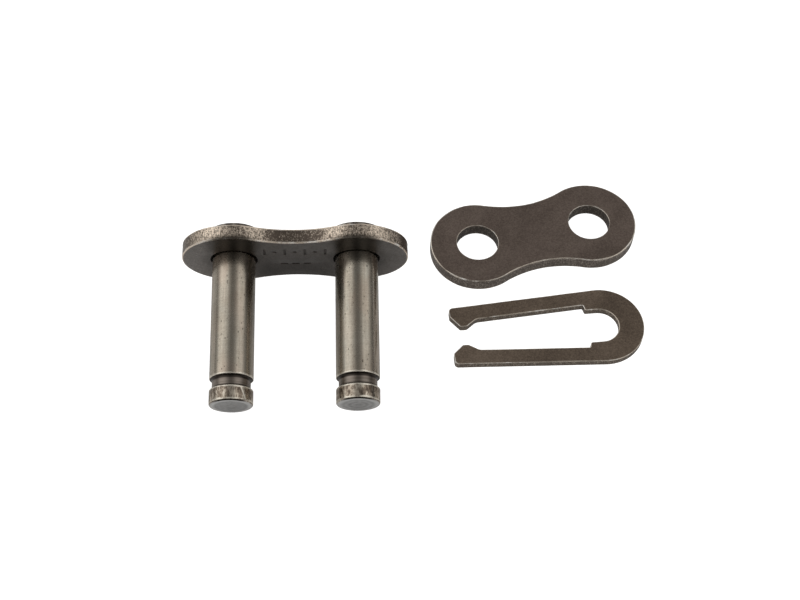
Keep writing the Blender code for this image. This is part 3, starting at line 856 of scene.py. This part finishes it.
def make_bench():
    bm = bmesh.new()
    centre = bm.verts.new((0, 0, BENCH_Z))
    inner = None
    for radius in BENCH_RADII:
        angles = [2 * math.pi * i / BENCH_SIDES for i in range(BENCH_SIDES)]
        ring = [bm.verts.new((radius * math.cos(a), radius * math.sin(a), BENCH_Z))
                for a in angles]
        for i in range(BENCH_SIDES):
            j = (i + 1) % BENCH_SIDES
            bm.faces.new((ring[i], ring[j], centre) if inner is None
                         else (inner[i], ring[i], ring[j], inner[j]))
        inner = ring
    mesh = bpy.data.meshes.new("bench")
    bmesh.ops.recalc_face_normals(bm, faces=bm.faces)
    bm.to_mesh(mesh)
    bm.free()
    # an open disc has no outside, so make sure it faces up
    if mesh.polygons[0].normal.z < 0:
        mesh.flip_normals()
    obj = bpy.data.objects.new("bench", mesh)
    bpy.context.scene.collection.objects.link(obj)
    mesh.materials.append(bench_material())


make_bench()


# ---- studio light (m)
def softbox(name, direction, distance, width, height, radiance, mirrored):
    light = bpy.data.lights.new(name, 'AREA')
    light.shape = 'RECTANGLE'
    light.size, light.size_y = width, height
    light.energy = radiance * width * height * math.pi
    obj = bpy.data.objects.new(name, light)
    bpy.context.scene.collection.objects.link(obj)
    towards = Vector(direction).normalized()
    obj.location = towards * distance
    obj.rotation_mode = 'QUATERNION'
    obj.rotation_quaternion = towards.to_track_quat('Z', 'Y')
    obj.visible_glossy = mirrored


# name, direction from the origin, distance, width, height, radiance, seen in reflections
SOFTBOXES = (
    ("softbox_left", (-0.70, 0.22, 0.68), 0.60, 0.34, 0.46, 0.22, True),
    ("softbox_right", (0.67, 0.22, 0.71), 0.60, 0.30, 0.40, 0.16, True),
    ("softbox_back", (0.0, 0.62, 0.78), 0.70, 0.60, 0.30, 0.20, True),
    ("softbox_front", (0.0, -0.72, 0.69), 0.70, 0.90, 0.50, 1.15, False),
)
for box in SOFTBOXES:
    softbox(*box)

# Glow of the room, with a long diffuser on either side: degrees from the left
# horizon over the top, brightness.
ROOM = [(0, 0.22), (8, 0.25), (14, 0.42), (19, 0.70), (30, 0.86), (44, 0.88), (54, 0.76),
        (64, 0.60), (74, 0.38), (83, 0.19), (94, 0.17), (103, 0.24), (114, 0.50), (123, 0.66),
        (134, 0.66), (146, 0.62), (157, 0.36), (170, 0.13), (180, 0.10)]
BACK_GLOW, FRONT = (0.34, 0.34, 0.335), (0.05, 0.05, 0.05)
FRONT_LOW, BELOW = (0.015, 0.015, 0.015), (0.40, 0.40, 0.40)


def make_world():
    """The room for lighting and reflections, plain white to the camera."""
    world = bpy.data.worlds.new("studio")
    bpy.context.scene.world = world
    world.use_nodes = True
    tree = world.node_tree
    tree.nodes.clear()
    x, y, z = coords(tree, "Generated").split()
    arc = z.maximum(0.0).math('ARCTAN2', x * -1.0) * (1 / math.pi)
    room = arc.ramp(*[(angle / 180, (v, v, v * 0.985)) for angle, v in ROOM])
    back_glow = y.step(zero=0.36, one=0.56) * abs(x).step(zero=0.75, one=0.35)
    room = (back_glow * 0.85).mix(room, BACK_GLOW)
    front = y.step(zero=-0.40, one=-0.78)
    room = front.mix(room, FRONT)
    room = (front * z.step(zero=0.42, one=0.10)).mix(room, FRONT_LOW)
    room = z.step(zero=0.0, one=-0.02).mix(room, BELOW)
    seen = camera_ray(tree).mix(room, (1.0, 1.0, 1.0))
    background = add_node(tree, "ShaderNodeBackground", {0: seen, 1: 1.0})
    finish(tree, "ShaderNodeOutputWorld", background)


make_world()

CAMERA_AIM = CONN_SPOT - Vector((14.277, 8.577, 0.0)) * MM
CAMERA_DISTANCE = 147.574 * MM
CAMERA_ELEVATION, CAMERA_ROLL = math.radians(56.855), math.radians(2.390)
CAMERA_LENS, CAMERA_SENSOR = 62.19855, 36.0  # mm


def make_camera():
    cos, sin = math.cos(CAMERA_ELEVATION), math.sin(CAMERA_ELEVATION)
    back = Vector((0, -cos, sin))
    level_up = Vector((0, sin, cos))
    level_right = Vector((1, 0, 0))
    right = level_right * math.cos(CAMERA_ROLL) + level_up * math.sin(CAMERA_ROLL)
    up = level_up * math.cos(CAMERA_ROLL) - level_right * math.sin(CAMERA_ROLL)
    place = CAMERA_AIM + back * CAMERA_DISTANCE
    data = bpy.data.cameras.new("camera")
    data.sensor_fit = 'HORIZONTAL'
    data.sensor_width = CAMERA_SENSOR
    data.lens = CAMERA_LENS
    data.clip_start, data.clip_end = 0.01, 10.0
    camera = bpy.data.objects.new("camera", data)
    bpy.context.scene.collection.objects.link(camera)
    rows = [(right[i], up[i], back[i], place[i]) for i in range(3)]
    camera.matrix_world = Matrix((*rows, (0, 0, 0, 1)))
    bpy.context.scene.camera = camera


make_camera()

view = bpy.context.scene.view_settings
view.view_transform = 'Standard'
view.look = 'None'
view.exposure = 0.0
view.gamma = 1.0
